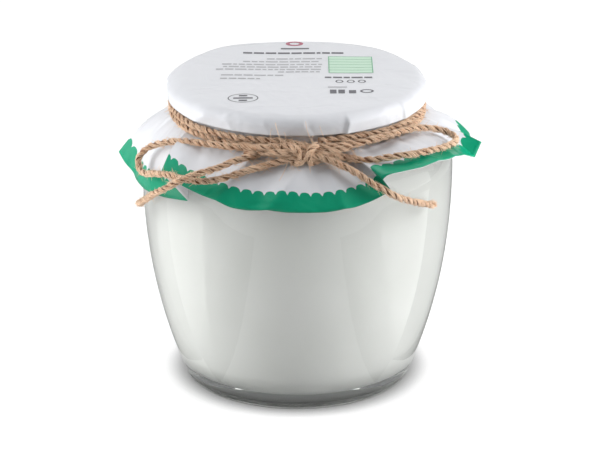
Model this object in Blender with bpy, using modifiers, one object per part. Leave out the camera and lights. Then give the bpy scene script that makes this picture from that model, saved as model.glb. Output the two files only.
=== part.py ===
"""A shut glass jar of yogurt, with a paper cover tied over its lid with jute twine.

Metres, +Z up. The origin is on the jar's axis, at the level that it stands on. The front is -Y.
An azimuth is an angle round the axis in degrees: 0 at the front, positive towards +X.
"""
import math

import bmesh
import bpy
from mathutils import Vector

MM = 0.001
GAP = 0.3 * MM            # between pieces that touch
MERGE = 0.00001

# Jar: a round-bellied glass for about 580 ml, with a wide mouth
BELLY_RADIUS = 51.3 * MM
BELLY_HEIGHT = 73.0 * MM
FOOT_SPREAD = 13.4 * MM   # how much narrower the foot is than the belly
FOOT_POWER = 2.2
HEEL_ROUND = 1.6 * MM
SHOULDER_POWER = 0.8
NECK_RADIUS = 39.6 * MM
NECK_BASE = 88.0 * MM
RIM_HEIGHT = 101.0 * MM
WALL = 2.6 * MM
WALL_DROP = 1.2 * MM      # the inside follows the outside this much lower, so the shoulder keeps its thickness
FLOOR = 5.2 * MM
FLOOR_CORNER = 7.0 * MM
PUSH_UP = 1.2 * MM        # the dome under the foot
RING_INNER = 34.0 * MM
JAR_STEPS = 64
FILL_HEIGHT = 86.0 * MM   # of the yogurt

# Paper cover: over the lid, tied under it, with a free skirt
TOP_HEIGHT = 102.4 * MM
LID_RADIUS = 43.0 * MM
LID_EDGE = 3.0 * MM
LID_LOW = 96.0 * MM       # the lid's side ends here, and the twine pulls the paper in below it
LID_STEP_IN = 0.8 * MM
TIE_RADIUS = 41.0 * MM
TIE_HEIGHT = 90.6 * MM
EARS = ((-146, 3.2 * MM), (143, 2.6 * MM))   # where the folded sheet stands out at the back corners
EAR_WIDTH = 15.0
SKIRT_THICKNESS = 0.6 * MM
SKIRT_BULGE = 1.3 * MM
COVER_COLUMNS = 108

# The skirt's hem is measured from a level ring: azimuth, droop below level in degrees, length in mm.
# The flaps and pleats from -92 to 115 are the ones at the front, and the rest go on in the same way.
HEM_RING_RADIUS = 42.4 * MM
HEM_RING_HEIGHT = 90.4 * MM
HEM = (
    (-176, 40, 20.0), (-160, 47, 21.0), (-146, 38, 20.5), (-131, 52, 21.0), (-117, 56, 20.5), (-105, 50, 20.5),
    (-97, 43, 21.6), (-91, 41, 22.3), (-84, 55.5, 22.7), (-77, 56, 22.9), (-67, 56, 22.9), (-58, 55.5, 22.6),
    (-50, 54.5, 21.8), (-45, 31, 18.0), (-36, 38, 18.2), (-27, 44, 19.2), (-18, 47.5, 20.2), (0, 46.5, 20.4),
    (14, 46.5, 20.4), (21, 44, 19.6), (28, 37, 18.3), (32, 14, 17.4), (42, 11, 18.3), (52, 12, 19.0),
    (61, 15, 19.2), (74, 31, 20.3), (77, 19, 20.0), (84, 36, 19.6), (95, 31, 17.4), (101.5, 55, 22.0),
    (112, 47, 20.4), (125, 54, 20.5), (139, 56, 20.5), (152, 40, 20.0), (168, 49, 21.0),
)

# Twine: 2 mm jute, two turns round the cover, a knot at the front, two loops and two tails
TWINE_RADIUS = 1.0 * MM
TURNS = ((42.45 * MM, 94.2 * MM), (42.4 * MM, 91.95 * MM))   # radius and height of each turn
TURN_POINTS = 46
STEP_DOWN = 9.0           # degrees each side of the front in which one turn passes into the next
TWINE_SPACING = 4.4 * MM
TWINE_SIDES = 2           # bevel resolution
KNOT_RADIUS = 1.05 * MM

LEFT_LOOP = (
    (-12.4, -43.4, 92.4), (-16.9, -41.8, 92.0), (-22.5, -39.2, 91.6), (-28.7, -35.2, 91.0), (-35.2, -30.0, 89.9),
    (-41.4, -25.1, 88.1), (-47.0, -21.6, 85.5), (-50.6, -20.2, 82.2), (-51.2, -21.6, 79.2), (-49.4, -26.2, 78.0),
    (-45.8, -33.6, 80.4), (-41.2, -41.0, 82.7), (-36.4, -46.7, 83.5), (-31.4, -49.1, 83.5), (-26.1, -49.1, 83.6),
    (-20.5, -48.2, 84.9), (-15.0, -47.6, 86.5), (-10.6, -46.7, 87.5),
)
LEFT_TAIL = (
    (-12.7, -43.5, 90.0), (-15.9, -44.5, 89.6), (-20.5, -46.4, 88.7), (-25.5, -48.5, 87.3), (-30.8, -50.9, 86.4),
    (-35.8, -51.0, 84.6), (-41.0, -46.8, 80.4), (-45.6, -38.4, 75.2), (-48.6, -28.8, 70.0), (-51.4, -17.6, 64.4),
)
RIGHT_LOOP = (
    (12.7, -43.3, 92.7), (17.2, -41.7, 92.8), (22.8, -39.1, 93.6), (28.7, -35.1, 93.9), (34.0, -29.7, 93.5),
    (38.5, -25.1, 92.8), (43.7, -22.3, 91.7), (48.2, -21.8, 90.4), (50.6, -24.0, 89.4), (50.0, -28.8, 89.2),
    (46.4, -34.8, 89.7), (41.4, -40.0, 90.3), (36.0, -43.6, 90.4), (30.2, -45.1, 90.2), (24.5, -45.1, 89.2),
    (19.8, -44.2, 88.8), (15.7, -43.2, 89.0),
)
RIGHT_TAIL = (
    (11.7, -47.1, 89.0), (15.9, -48.7, 87.5), (19.8, -50.3, 85.6), (23.8, -51.9, 83.4),
    (27.7, -52.2, 81.2), (31.5, -50.6, 78.6), (35.5, -45.8, 75.6), (39.4, -38.8, 72.2), (43.3, -31.2, 69.0),
)
KNOT_STRANDS = (
    ((-12.0, -43.5, 92.45), (-7.7, -44.6, 92.8), (-2.9, -45.3, 93.0), (1.9, -45.5, 92.9), (6.7, -44.9, 92.9),
     (12.3, -43.45, 92.7)),
    ((-11.7, -43.4, 90.5), (-6.7, -44.7, 90.9), (-1.0, -45.4, 90.8), (4.8, -45.2, 90.6), (9.6, -44.4, 89.9),
     (14.9, -43.1, 89.2)),
    ((-10.0, -46.6, 87.75), (-5.8, -46.6, 88.9), (-1.0, -46.7, 90.0), (3.8, -46.5, 90.8),
     (8.0, -46.3, 90.6), (11.2, -46.9, 89.3)),
    ((0.4, -44.7, 94.7), (1.5, -46.6, 94.4), (2.4, -47.6, 92.8), (2.6, -48.0, 90.8), (2.1, -47.9, 89.4),
     (1.3, -47.0, 88.6), (0.6, -45.5, 89.4)),
)


def clear_scene():
    """Removes every object, whatever file this runs in."""
    for obj in list(bpy.data.objects):
        bpy.data.objects.remove(obj, do_unlink=True)


def new_collection(name):
    """A collection linked to the scene."""
    group = bpy.data.collections.new(name)
    bpy.context.scene.collection.children.link(group)
    return group


def finish(name, colour, roughness, transmission=0.0):
    """A Principled material."""
    made = bpy.data.materials.new(name)
    made.use_nodes = True
    shader = made.node_tree.nodes["Principled BSDF"]
    shader.inputs["Base Color"].default_value = (*colour, 1.0)
    shader.inputs["Roughness"].default_value = roughness
    shader.inputs["Metallic"].default_value = 0.0
    shader.inputs["Transmission Weight"].default_value = transmission
    return made


def on_ring(azimuth, radius, height):
    """The point at an azimuth in degrees, a radius and a height."""
    angle = math.radians(azimuth)
    return Vector((radius * math.sin(angle), -radius * math.cos(angle), height))


def body_radius(height):
    """The glass's outer radius at a height, from the foot up to the neck."""
    if height <= BELLY_HEIGHT:
        below = 1.0 - height / BELLY_HEIGHT
        return BELLY_RADIUS - FOOT_SPREAD * below ** FOOT_POWER
    along = min(1.0, (height - BELLY_HEIGHT) / (NECK_BASE - BELLY_HEIGHT))
    return NECK_RADIUS + (BELLY_RADIUS - NECK_RADIUS) * (1.0 - along * along) ** SHOULDER_POWER


def inside_radius(height):
    """The glass's inner radius at a height, with the rounded corner at its floor."""
    corner = 0.0
    if height < FLOOR + FLOOR_CORNER:
        along = 1.0 - (height - FLOOR) / FLOOR_CORNER
        corner = FLOOR_CORNER * (1.0 - math.sqrt(max(0.0, 1.0 - along * along)))
    return body_radius(height + WALL_DROP) - WALL - corner


def body_heights(low, high, count):
    """Heights from low to high, closer together towards the neck, where the outline turns."""
    return [low + (high - low) * math.sin(0.5 * math.pi * step / count) for step in range(count + 1)]


def inside_outline(shrink, top):
    """The inside's outline from the middle of the floor up to a top, kept clear of the glass by shrink."""
    points = [(0.0, FLOOR + shrink)]
    for step in range(5):
        height = FLOOR + FLOOR_CORNER * (1.0 - math.cos(math.pi * step / 8))
        points.append((inside_radius(height) - shrink, height + shrink))
    heights = [height for height in body_heights(FLOOR + FLOOR_CORNER, NECK_BASE, 10)[1:] if height < top]
    for height in (*heights, top):
        points.append((min(inside_radius(height), inside_radius(height + shrink)) - shrink, height))
    return points


def turned(name, outline, steps, group, material):
    """An outline of (radius, height) points turned round the axis with a Screw modifier."""
    mesh = bpy.data.meshes.new(name)
    edges = [(k, k + 1) for k in range(len(outline) - 1)]
    mesh.from_pydata([(radius, 0.0, height) for radius, height in outline], edges, [])
    obj = bpy.data.objects.new(name, mesh)
    group.objects.link(obj)
    screw = obj.modifiers.new("turn", "SCREW")
    screw.axis = "Z"
    screw.steps = steps
    screw.render_steps = steps
    screw.use_merge_vertices = True
    screw.merge_threshold = MERGE
    screw.use_smooth_shade = True
    mesh.materials.append(material)
    return obj


def make_jar(group, material):
    """The glass: its inside from the floor up, the rim, the outside down, and the domed foot."""
    outline = inside_outline(0.0, NECK_BASE)
    rim_round = 0.5 * WALL
    middle = NECK_RADIUS - rim_round
    for step in range(5):
        angle = math.pi * (1.0 - step / 4)
        outline.append((middle + rim_round * math.cos(angle), RIM_HEIGHT - rim_round * (1.0 - math.sin(angle))))
    outline.extend((body_radius(h), h) for h in reversed(body_heights(HEEL_ROUND, NECK_BASE, 10)))
    heel = body_radius(HEEL_ROUND) - HEEL_ROUND
    for step in (1, 2):
        angle = 0.25 * math.pi * step
        outline.append((heel + HEEL_ROUND * math.cos(angle), HEEL_ROUND * (1.0 - math.sin(angle))))
    outline.append((RING_INNER, 0.0))
    outline.append((RING_INNER - 2.0 * MM, 0.6 * MM))
    outline.append((0.5 * RING_INNER, PUSH_UP))
    outline.append((0.0, PUSH_UP))
    return turned("jar", outline, JAR_STEPS, group, material)


def make_yogurt(group, material):
    """The yogurt: the inside of the glass up to just under the neck."""
    outline = [(0.0, FILL_HEIGHT), *reversed(inside_outline(GAP, FILL_HEIGHT))]
    return turned("yogurt", outline, JAR_STEPS, group, material)


def hem_at(azimuth):
    """The skirt's droop in radians and its length in metres at an azimuth."""
    first = HEM[0][0]
    angle = (azimuth - first) % 360.0 + first
    stations = HEM + ((first + 360.0, HEM[0][1], HEM[0][2]),)
    for before, after in zip(stations, stations[1:]):
        if angle <= after[0]:
            share = (angle - before[0]) / (after[0] - before[0])
            ease = share * share * (3.0 - 2.0 * share)
            droop = before[1] + (after[1] - before[1]) * ease
            length = before[2] + (after[2] - before[2]) * ease
            return math.radians(droop), length * MM
    raise ValueError(azimuth)


def skirt_point(azimuth, share, lift):
    """A point of the skirt at a share of the way from the tie to the hem, raised off it by lift."""
    droop, length = hem_at(azimuth)
    across = HEM_RING_RADIUS + length * math.cos(droop) - TIE_RADIUS
    down = TIE_HEIGHT - HEM_RING_HEIGHT + length * math.sin(droop)
    slope = math.hypot(across, down)
    off = SKIRT_BULGE * math.sin(math.pi * share) + lift
    radius = TIE_RADIUS + across * share + off * down / slope
    height = TIE_HEIGHT - down * share + off * across / slope
    return on_ring(azimuth, radius, height)


def ear_at(azimuth):
    """How far the cover stands out past the lid at an azimuth."""
    return sum(size * math.exp(-(((azimuth - place) / EAR_WIDTH) ** 2)) for place, size in EARS)


def cover_rings():
    """The cover's rings of points, from its top's middle out, down the skirt, and back up inside."""
    azimuths = [360.0 * k / COVER_COLUMNS - 180.0 for k in range(COVER_COLUMNS)]
    rings = []
    lid_rows = (
        (0.55, 0.0, 0.0), (1.0, -1.0, 0.0), (1.0, -0.3, 0.25), (1.0, 0.0, 1.0),
    )
    for share, edges_out, edges_down in lid_rows:
        ring = []
        for azimuth in azimuths:
            radius = share * (LID_RADIUS + ear_at(azimuth)) + edges_out * LID_EDGE
            ring.append(on_ring(azimuth, radius, TOP_HEIGHT - edges_down * LID_EDGE))
        rings.append(ring)
    for radius, height in ((LID_RADIUS, LID_LOW), (TIE_RADIUS, LID_LOW - LID_STEP_IN)):
        rings.append([on_ring(azimuth, radius, height) for azimuth in azimuths])
    for share in (0.0, 0.18, 0.4, 0.65, 0.85, 1.0):
        rings.append([skirt_point(azimuth, share, 0.0) for azimuth in azimuths])
    for share in (1.0, 0.7, 0.4, 0.1):
        rings.append([skirt_point(azimuth, share, -SKIRT_THICKNESS) for azimuth in azimuths])
    bore = NECK_RADIUS + 1.3 * GAP
    for height in (TIE_HEIGHT - SKIRT_THICKNESS, RIM_HEIGHT + GAP):
        rings.append([on_ring(azimuth, bore, height) for azimuth in azimuths])
    rings.append([on_ring(azimuth, 0.5 * bore, RIM_HEIGHT + GAP) for azimuth in azimuths])
    return rings


def make_cover(group, material):
    """The cover and what it hides of the lid, as one solid: a loft through its rings."""
    rings = cover_rings()
    build = bmesh.new()
    rows = [[build.verts.new(point) for point in ring] for ring in rings]
    count = COVER_COLUMNS
    for upper, lower in zip(rows, rows[1:]):
        for k in range(count):
            after = (k + 1) % count
            build.faces.new((upper[k], lower[k], lower[after], upper[after]))
    top = build.verts.new((0.0, 0.0, TOP_HEIGHT))
    under = build.verts.new((0.0, 0.0, RIM_HEIGHT + GAP))
    for k in range(count):
        after = (k + 1) % count
        build.faces.new((top, rows[0][k], rows[0][after]))
        build.faces.new((under, rows[-1][after], rows[-1][k]))
    bmesh.ops.recalc_face_normals(build, faces=build.faces)
    mesh = bpy.data.meshes.new("paper_cover")
    build.to_mesh(mesh)
    build.free()
    mesh.materials.append(material)
    mesh.shade_smooth()
    mesh.set_sharp_from_angle(angle=math.radians(40))
    obj = bpy.data.objects.new("paper_cover", mesh)
    group.objects.link(obj)
    return obj


def smooth_route(route, spacing):
    """Points a spacing apart on a Catmull-Rom curve through a route given in mm."""
    points = [Vector(point) * MM for point in route]
    ends = [2.0 * points[0] - points[1]] + points + [2.0 * points[-1] - points[-2]]
    fine = []
    for a, b, c, d in zip(ends, ends[1:], ends[2:], ends[3:]):
        for step in range(24):
            t = step / 24
            fine.append(0.5 * (2.0 * b + (c - a) * t + (2.0 * a - 5.0 * b + 4.0 * c - d) * t * t
                               + (3.0 * b - a - 3.0 * c + d) * t ** 3))
    fine.append(points[-1])
    run = [0.0]
    for before, after in zip(fine, fine[1:]):
        run.append(run[-1] + (after - before).length)
    count = max(2, round(run[-1] / spacing))
    spaced = []
    k = 0
    for step in range(count + 1):
        wanted = run[-1] * step / count
        while k < len(run) - 2 and run[k + 1] < wanted:
            k += 1
        share = (wanted - run[k]) / (run[k + 1] - run[k])
        spaced.append(fine[k].lerp(fine[k + 1], min(1.0, share)))
    return spaced


def twine_curve(name, points, radius, group, material):
    """A tube of twine through points, as a curve with a bevel and filled caps."""
    curve = bpy.data.curves.new(name, "CURVE")
    curve.dimensions = "3D"
    curve.bevel_depth = radius
    curve.bevel_resolution = TWINE_SIDES
    curve.use_fill_caps = True
    spline = curve.splines.new("POLY")
    spline.points.add(len(points) - 1)
    for target, point in zip(spline.points, points):
        target.co = (*point, 1.0)
    curve.materials.append(material)
    obj = bpy.data.objects.new(name, curve)
    group.objects.link(obj)
    return obj


def wrap_points():
    """Two turns round the cover, one above the other, each closed behind the knot."""
    (upper_radius, upper_height), (lower_radius, lower_height) = TURNS
    start = -360.0 + STEP_DOWN
    end = 360.0 - STEP_DOWN
    points = []
    count = 2 * TURN_POINTS
    for k in range(count + 1):
        azimuth = start + (end - start) * k / count
        share = min(1.0, max(0.0, 0.5 + 0.5 * azimuth / STEP_DOWN))
        ease = share * share * (3.0 - 2.0 * share)
        radius = upper_radius + (lower_radius - upper_radius) * ease
        height = upper_height + (lower_height - upper_height) * ease
        points.append(on_ring(azimuth, radius, height))
    return points


def as_mesh(curve_object, group):
    """The mesh of a curve object, with its caps welded; the curve is removed."""
    graph = bpy.context.evaluated_depsgraph_get()
    mesh = bpy.data.meshes.new_from_object(curve_object.evaluated_get(graph))
    build = bmesh.new()
    build.from_mesh(mesh)
    bmesh.ops.remove_doubles(build, verts=build.verts, dist=MERGE)
    build.to_mesh(mesh)
    build.free()
    obj = bpy.data.objects.new(curve_object.name + "_mesh", mesh)
    obj.matrix_world = curve_object.matrix_world
    group.objects.link(obj)
    bpy.data.objects.remove(curve_object, do_unlink=True)
    return obj


def make_knot(group, strands_group, material):
    """The knot: strands that cross behind a band of twine, joined into one solid."""
    for k, route in enumerate(KNOT_STRANDS):
        points = smooth_route(route, 2.6 * MM)
        strand = twine_curve(f"strand_{k}", points, KNOT_RADIUS, strands_group, material)
        bpy.context.view_layer.update()
        as_mesh(strand, strands_group)
    first, *others = list(strands_group.objects)
    strands_group.objects.unlink(first)
    group.objects.link(first)
    first.name = "knot"
    first.data.name = "knot"
    join = first.modifiers.new("join", "BOOLEAN")
    join.operation = "UNION"
    join.solver = "EXACT"
    join.operand_type = "COLLECTION"
    join.collection = strands_group
    graph = bpy.context.evaluated_depsgraph_get()
    joined = bpy.data.meshes.new_from_object(first.evaluated_get(graph))
    first.modifiers.clear()
    first.data = joined
    joined.materials.clear()
    joined.materials.append(material)
    for other in others:
        bpy.data.objects.remove(other, do_unlink=True)
    bpy.data.collections.remove(strands_group)
    return first


def main():
    clear_scene()
    parts = new_collection("yogurt_jar")
    strands = new_collection("knot_strands")
    glass = finish("glass", (0.93, 0.96, 0.95), 0.03, transmission=1.0)
    yogurt = finish("yogurt", (0.86, 0.85, 0.82), 0.5)
    paper = finish("paper", (0.80, 0.81, 0.84), 0.6)
    jute = finish("jute", (0.56, 0.37, 0.20), 0.9)

    make_jar(parts, glass)
    make_yogurt(parts, yogurt)
    make_cover(parts, paper)
    twine_curve("twine_turns", wrap_points(), TWINE_RADIUS, parts, jute)
    routes = (("loop_left", LEFT_LOOP), ("loop_right", RIGHT_LOOP), ("tail_left", LEFT_TAIL), ("tail_right", RIGHT_TAIL))
    for name, route in routes:
        twine_curve(name, smooth_route(route, TWINE_SPACING), TWINE_RADIUS, parts, jute)
    make_knot(parts, strands, jute)


main()
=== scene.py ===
# %% [markdown]
# # A jar of yogurt under a tied paper cover
# This notebook dresses a measured model of a shut glass jar: clear glass round white yogurt, a sheet of
# printed paper folded down over the lid, and jute twine tied in a loose bow. The solids come first and
# fix every size, and each cell then replaces one of them with a piece that looks like the real thing.

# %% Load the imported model
import math
import random

import bmesh
import bpy
from mathutils import Matrix, Vector, noise
from mathutils.kdtree import KDTree


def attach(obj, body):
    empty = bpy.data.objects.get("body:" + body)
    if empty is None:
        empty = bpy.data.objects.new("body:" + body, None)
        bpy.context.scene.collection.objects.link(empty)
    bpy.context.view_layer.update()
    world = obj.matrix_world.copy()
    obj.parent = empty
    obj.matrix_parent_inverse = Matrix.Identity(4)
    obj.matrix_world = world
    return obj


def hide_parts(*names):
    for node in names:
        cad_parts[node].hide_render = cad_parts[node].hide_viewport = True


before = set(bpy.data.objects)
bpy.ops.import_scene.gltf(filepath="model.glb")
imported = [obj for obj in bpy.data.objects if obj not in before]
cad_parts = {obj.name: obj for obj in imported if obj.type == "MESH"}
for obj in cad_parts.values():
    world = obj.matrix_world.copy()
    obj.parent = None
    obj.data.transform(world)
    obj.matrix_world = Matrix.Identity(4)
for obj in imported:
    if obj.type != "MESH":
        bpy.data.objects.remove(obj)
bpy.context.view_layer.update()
MM = 0.001
print("solids:", sorted(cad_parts))

# %% [markdown]
# ## Camera
# The photograph was taken with a long lens from a little above the lid. The jar's lid and foot are circles
# of known size, so their ellipses give the height and distance of the camera, and the lens follows.

# %% Camera at the photograph's place
VIEW_DOWN = math.radians(20.86)
VIEW_DISTANCE = 832 * MM
LOOK_AT = Vector((0.87 * MM, 0.0, 50.1 * MM))
LENS = 149.1
SENSOR = 36.0

camera_data = bpy.data.cameras.new("camera")
camera_data.lens = LENS
camera_data.sensor_width = SENSOR
camera = bpy.data.objects.new("camera", camera_data)
toward = Vector((0.0, math.cos(VIEW_DOWN), -math.sin(VIEW_DOWN)))
camera.location = LOOK_AT - VIEW_DISTANCE * toward
camera.rotation_euler = (math.pi / 2 - VIEW_DOWN, 0.0, 0.0)
bpy.context.scene.collection.objects.link(camera)
bpy.context.scene.camera = camera
bpy.context.scene.view_settings.view_transform = "Standard"
print("camera at", tuple(round(x, 3) for x in camera.location))

# %% [markdown]
# ## Helpers for materials
# Every finish is a Principled shader. These helpers set its plain values on its own sockets and place
# nodes by name, so that each material cell below only says what is special about that surface.

# %% Material helpers


def plain(name, colour, roughness, **values):
    """A Principled material, and its shader."""
    made = bpy.data.materials.new(name)
    made.use_nodes = True
    shader = made.node_tree.nodes["Principled BSDF"]
    shader.inputs["Base Color"].default_value = (*colour, 1.0)
    shader.inputs["Roughness"].default_value = roughness
    for socket, value in values.items():
        shader.inputs[socket.replace("_", " ")].default_value = value
    return made, shader


def node(tree, kind, **values):
    """A node, with some of its inputs or settings given by name."""
    made = tree.nodes.new(kind)
    for key, value in values.items():
        name = key.replace("_", " ")
        if name in made.inputs:
            made.inputs[name].default_value = value
        else:
            setattr(made, key, value)
    return made


def noise_at(tree, vector, scale, detail=3.0, roughness=0.5):
    """A noise texture that reads a vector."""
    made = node(tree, "ShaderNodeTexNoise", Scale=scale, Detail=detail, Roughness=roughness)
    tree.links.new(vector, made.inputs["Vector"])
    return made.outputs["Fac"]


def between(tree, factor, low, high, start=0.0, end=1.0):
    """A colour or value that follows a factor from low to high."""
    ramp = tree.nodes.new("ShaderNodeValToRGB")
    ramp.color_ramp.elements[0].position = start
    ramp.color_ramp.elements[0].color = (*low, 1.0)
    ramp.color_ramp.elements[1].position = end
    ramp.color_ramp.elements[1].color = (*high, 1.0)
    tree.links.new(factor, ramp.inputs["Fac"])
    return ramp.outputs["Color"]


def bumped(tree, shader, height, strength, distance):
    """A bump from a height to a shader's normal."""
    bump = node(tree, "ShaderNodeBump", Strength=strength, Distance=distance)
    tree.links.new(height, bump.inputs["Height"])
    tree.links.new(bump.outputs["Normal"], shader.inputs["Normal"])
    return bump


def product(tree, first, second, amount=1.0):
    """Two colours multiplied, the second by a given amount."""
    made = node(tree, "ShaderNodeMix", data_type="RGBA", blend_type="MULTIPLY")
    made.inputs[0].default_value = amount
    tree.links.new(first, made.inputs[6])
    tree.links.new(second, made.inputs[7])
    return made.outputs[2]


# %% Helpers for objects


def link(obj):
    """Puts an object in the scene."""
    bpy.context.scene.collection.objects.link(obj)
    return obj


def object_from(build, name, *materials):
    """A new object from a finished bmesh, which is freed."""
    mesh = bpy.data.meshes.new(name)
    build.to_mesh(mesh)
    build.free()
    for material in materials:
        mesh.materials.append(material)
    return link(bpy.data.objects.new(name, mesh))


def on_ring(azimuth, radius, height):
    """A point in metres from an azimuth in degrees and a radius and height in mm. 0 is the front, -Y."""
    angle = math.radians(azimuth)
    return Vector((radius * math.sin(angle), -radius * math.cos(angle), height)) * MM


# %% [markdown]
# ## Jute twine
# Real jute twine is two or three plies twisted round each other, with loose fibres that stand out all over.
# A plain tube would look like a wire. So each ply is a bevelled curve that winds round the twine's route, a
# little lumpy, and hundreds of very thin fibres lie on it, stand out from it or spread from a cut end. It
# all becomes one mesh.
#
# The colour runs in streaks along the plies, with painted shade in the grooves. For that, each point of a
# ply also stores where it would lie if the twine were untwisted; streaks and painted shade follow from those
# places.

# %% Jute material
hair, _ = plain("jute_hair", (0.80, 0.59, 0.42), 0.7, Specular_IOR_Level=0.3)
jute, jute_shader = plain("jute", (0.60, 0.40, 0.23), 0.85, Sheen_Weight=0.30, Sheen_Roughness=0.5,
                          Specular_IOR_Level=0.2)
tree = jute.node_tree
place = node(tree, "ShaderNodeTexCoord").outputs["Object"]
untwisted = node(tree, "ShaderNodeAttribute", attribute_name="untwisted").outputs["Vector"]
stretch = node(tree, "ShaderNodeMapping", Scale=(0.45, 3.2, 3.2))
tree.links.new(untwisted, stretch.inputs["Vector"])
fibres = noise_at(tree, stretch.outputs["Vector"], 1.0, 2.0, 0.7)
patches = noise_at(tree, place, 300.0, 3.0, 0.6)
across = node(tree, "ShaderNodeVectorMath", operation="MULTIPLY")
across.inputs[1].default_value = (0.0, 1.0, 1.0)
tree.links.new(untwisted, across.inputs[0])
from_axis = node(tree, "ShaderNodeVectorMath", operation="LENGTH")
tree.links.new(across.outputs[0], from_axis.inputs[0])
# painted shade: the jute is darker toward the grooves between the plies, where shade falls
groove_shade_depth = node(tree, "ShaderNodeMapRange", From_Min=0.60, From_Max=0.98)
tree.links.new(from_axis.outputs["Value"], groove_shade_depth.inputs["Value"])
streaks = between(tree, fibres, (0.40, 0.235, 0.14), (0.86, 0.63, 0.45), 0.32, 0.60)
warm_to_pale = between(tree, patches, (0.86, 0.72, 0.62), (1.0, 1.0, 1.0), 0.36, 0.58)
painted_groove_shade = between(tree, groove_shade_depth.outputs["Result"], (0.33, 0.22, 0.15), (1.0, 1.0, 1.0))
jute_colour = product(tree, product(tree, streaks, warm_to_pale, 0.9), painted_groove_shade)
tree.links.new(jute_colour, jute_shader.inputs["Base Color"])
bumped(tree, jute_shader, fibres, 1.0, 0.25 * MM)

# %% Smooth routes and the frames along them
ROUTE_SPACING = 0.45
CURVE_STEPS = 24
TWINE_RADIUS = 1.0
PLIES = 2
PLY_RADIUS = 0.64
PLY_OFFSET = 0.46
LAY_LENGTH = 6.2
FIBRE_RADIUS = 0.065
FARTHEST_FIBRE = 2.7
LYING_PER_MM = 3.0
FRAY_LENGTH = 4.0
FRAY_FIBRES = 110


def on_curve(a, b, c, d, t):
    """The point at a share t of the way from b to c on the Catmull-Rom curve through four points."""
    return 0.5 * (2.0 * b + (c - a) * t + (2.0 * a - 5.0 * b + 4.0 * c - d) * t * t
                  + (3.0 * b - a - 3.0 * c + d) * t ** 3)


def with_ends(points):
    """Points with one more at each end, mirrored, so that a curve reaches from the first to the last."""
    return [2.0 * points[0] - points[1]] + points + [2.0 * points[-1] - points[-2]]


def running_lengths(points):
    """The length along a route up to each of its points."""
    run = [0.0]
    for before, after in zip(points, points[1:]):
        run.append(run[-1] + (after - before).length)
    return run


def smooth_route(route, spacing=ROUTE_SPACING):
    """Points a spacing apart, in mm, on a Catmull-Rom curve through a route."""
    points = [Vector(point) for point in route]
    ends = with_ends(points)
    fine = []
    for a, b, c, d in zip(ends, ends[1:], ends[2:], ends[3:]):
        fine += [on_curve(a, b, c, d, step / CURVE_STEPS) for step in range(CURVE_STEPS)]
    fine.append(points[-1])
    run = running_lengths(fine)
    count = max(2, round(run[-1] / spacing))
    spaced = []
    k = 0
    for step in range(count + 1):
        wanted = run[-1] * step / count
        while k < len(run) - 2 and run[k + 1] < wanted:
            k += 1
        share = (wanted - run[k]) / max(1e-9, run[k + 1] - run[k])
        spaced.append(fine[k].lerp(fine[k + 1], min(1.0, share)))
    return spaced


def carried_frames(points):
    """A tangent and two sideways directions at each point, carried along without twist."""
    tangents = []
    for k in range(len(points)):
        tangents.append((points[min(k + 1, len(points) - 1)] - points[max(k - 1, 0)]).normalized())
    side = tangents[0].cross(Vector((0.0, 0.0, 1.0))).normalized()
    frames = []
    for tangent in tangents:
        side = (side - tangent * side.dot(tangent)).normalized()
        frames.append((tangent, side, tangent.cross(side)))
    return frames


# %% Twine from plies and loose fibres
def add_spline(curve, points, radii):
    """A POLY spline in a curve, through points in mm, with a radius factor at each."""
    spline = curve.splines.new("POLY")
    spline.points.add(len(points) - 1)
    for target, point, radius in zip(spline.points, points, radii):
        target.co = (*(point * MM), 1.0)
        target.radius = radius


def meshed(curve, name):
    """A curve's mesh as a new object, and the curve removed."""
    holder = link(bpy.data.objects.new(name + "_curve", curve))
    graph = bpy.context.evaluated_depsgraph_get()
    mesh = bpy.data.meshes.new_from_object(holder.evaluated_get(graph))
    mesh.name = name
    bpy.data.objects.remove(holder, do_unlink=True)
    bpy.data.curves.remove(curve)
    mesh.shade_smooth()
    return link(bpy.data.objects.new(name, mesh))


def round_curve(name, radius, resolution=0):
    """An empty curve in space with a round section of a radius in mm."""
    curve = bpy.data.curves.new(name, "CURVE")
    curve.dimensions = "3D"
    curve.bevel_depth = radius * MM
    curve.bevel_resolution = resolution
    return curve


def ply_curve(name, points, frames, run, turn, frayed, chance):
    """A curve of plies twisted round a route, each a bit thicker and thinner as it goes."""
    curve = round_curve(name, PLY_RADIUS, 2)
    curve.use_fill_caps = True
    for ply in range(PLIES):
        start = turn + ply * 2.0 * math.pi / PLIES
        shift = 40.0 * chance.random()
        placed = []
        radii = []
        for point, (_, side, other), s in zip(points, frames, run):
            lump = noise.noise(Vector((0.45 * s + shift, 3.0 * ply, 0.0)))
            knobs = noise.noise(Vector((1.9 * s + shift, 3.0 * ply, 5.0)))
            loose = max(0.0, 1.0 - (run[-1] - s) / FRAY_LENGTH) if frayed else 0.0
            offset = PLY_OFFSET * (1.0 + 0.2 * lump + 0.75 * loose)
            angle = start + 2.0 * math.pi * s / LAY_LENGTH + 0.3 * lump
            placed.append(point + offset * (math.cos(angle) * side + math.sin(angle) * other))
            radii.append(1.0 + 0.2 * lump + 0.14 * knobs)
        add_spline(curve, placed, radii)
    return curve


def untwist(mesh, count, points, frames, run, turn):
    """Stores each ply vertex's place in mm: along the twine, and on a section that turns with the plies."""
    nearest = KDTree(len(points))
    for k, point in enumerate(points):
        nearest.insert(point, k)
    nearest.balance()
    layer = mesh.attributes.new("untwisted", "FLOAT_VECTOR", "POINT")
    for k in range(count):
        spot = mesh.vertices[k].co / MM
        _, index, _ = nearest.find(spot)
        tangent, side, other = frames[index]
        away = spot - points[index]
        s = run[index] + away.dot(tangent)
        angle = turn + 2.0 * math.pi * s / LAY_LENGTH
        x, y = away.dot(side), away.dot(other)
        turned_x = x * math.cos(angle) + y * math.sin(angle)
        turned_y = y * math.cos(angle) - x * math.sin(angle)
        layer.data[k].vector = (s, turned_x, turned_y)


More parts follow.
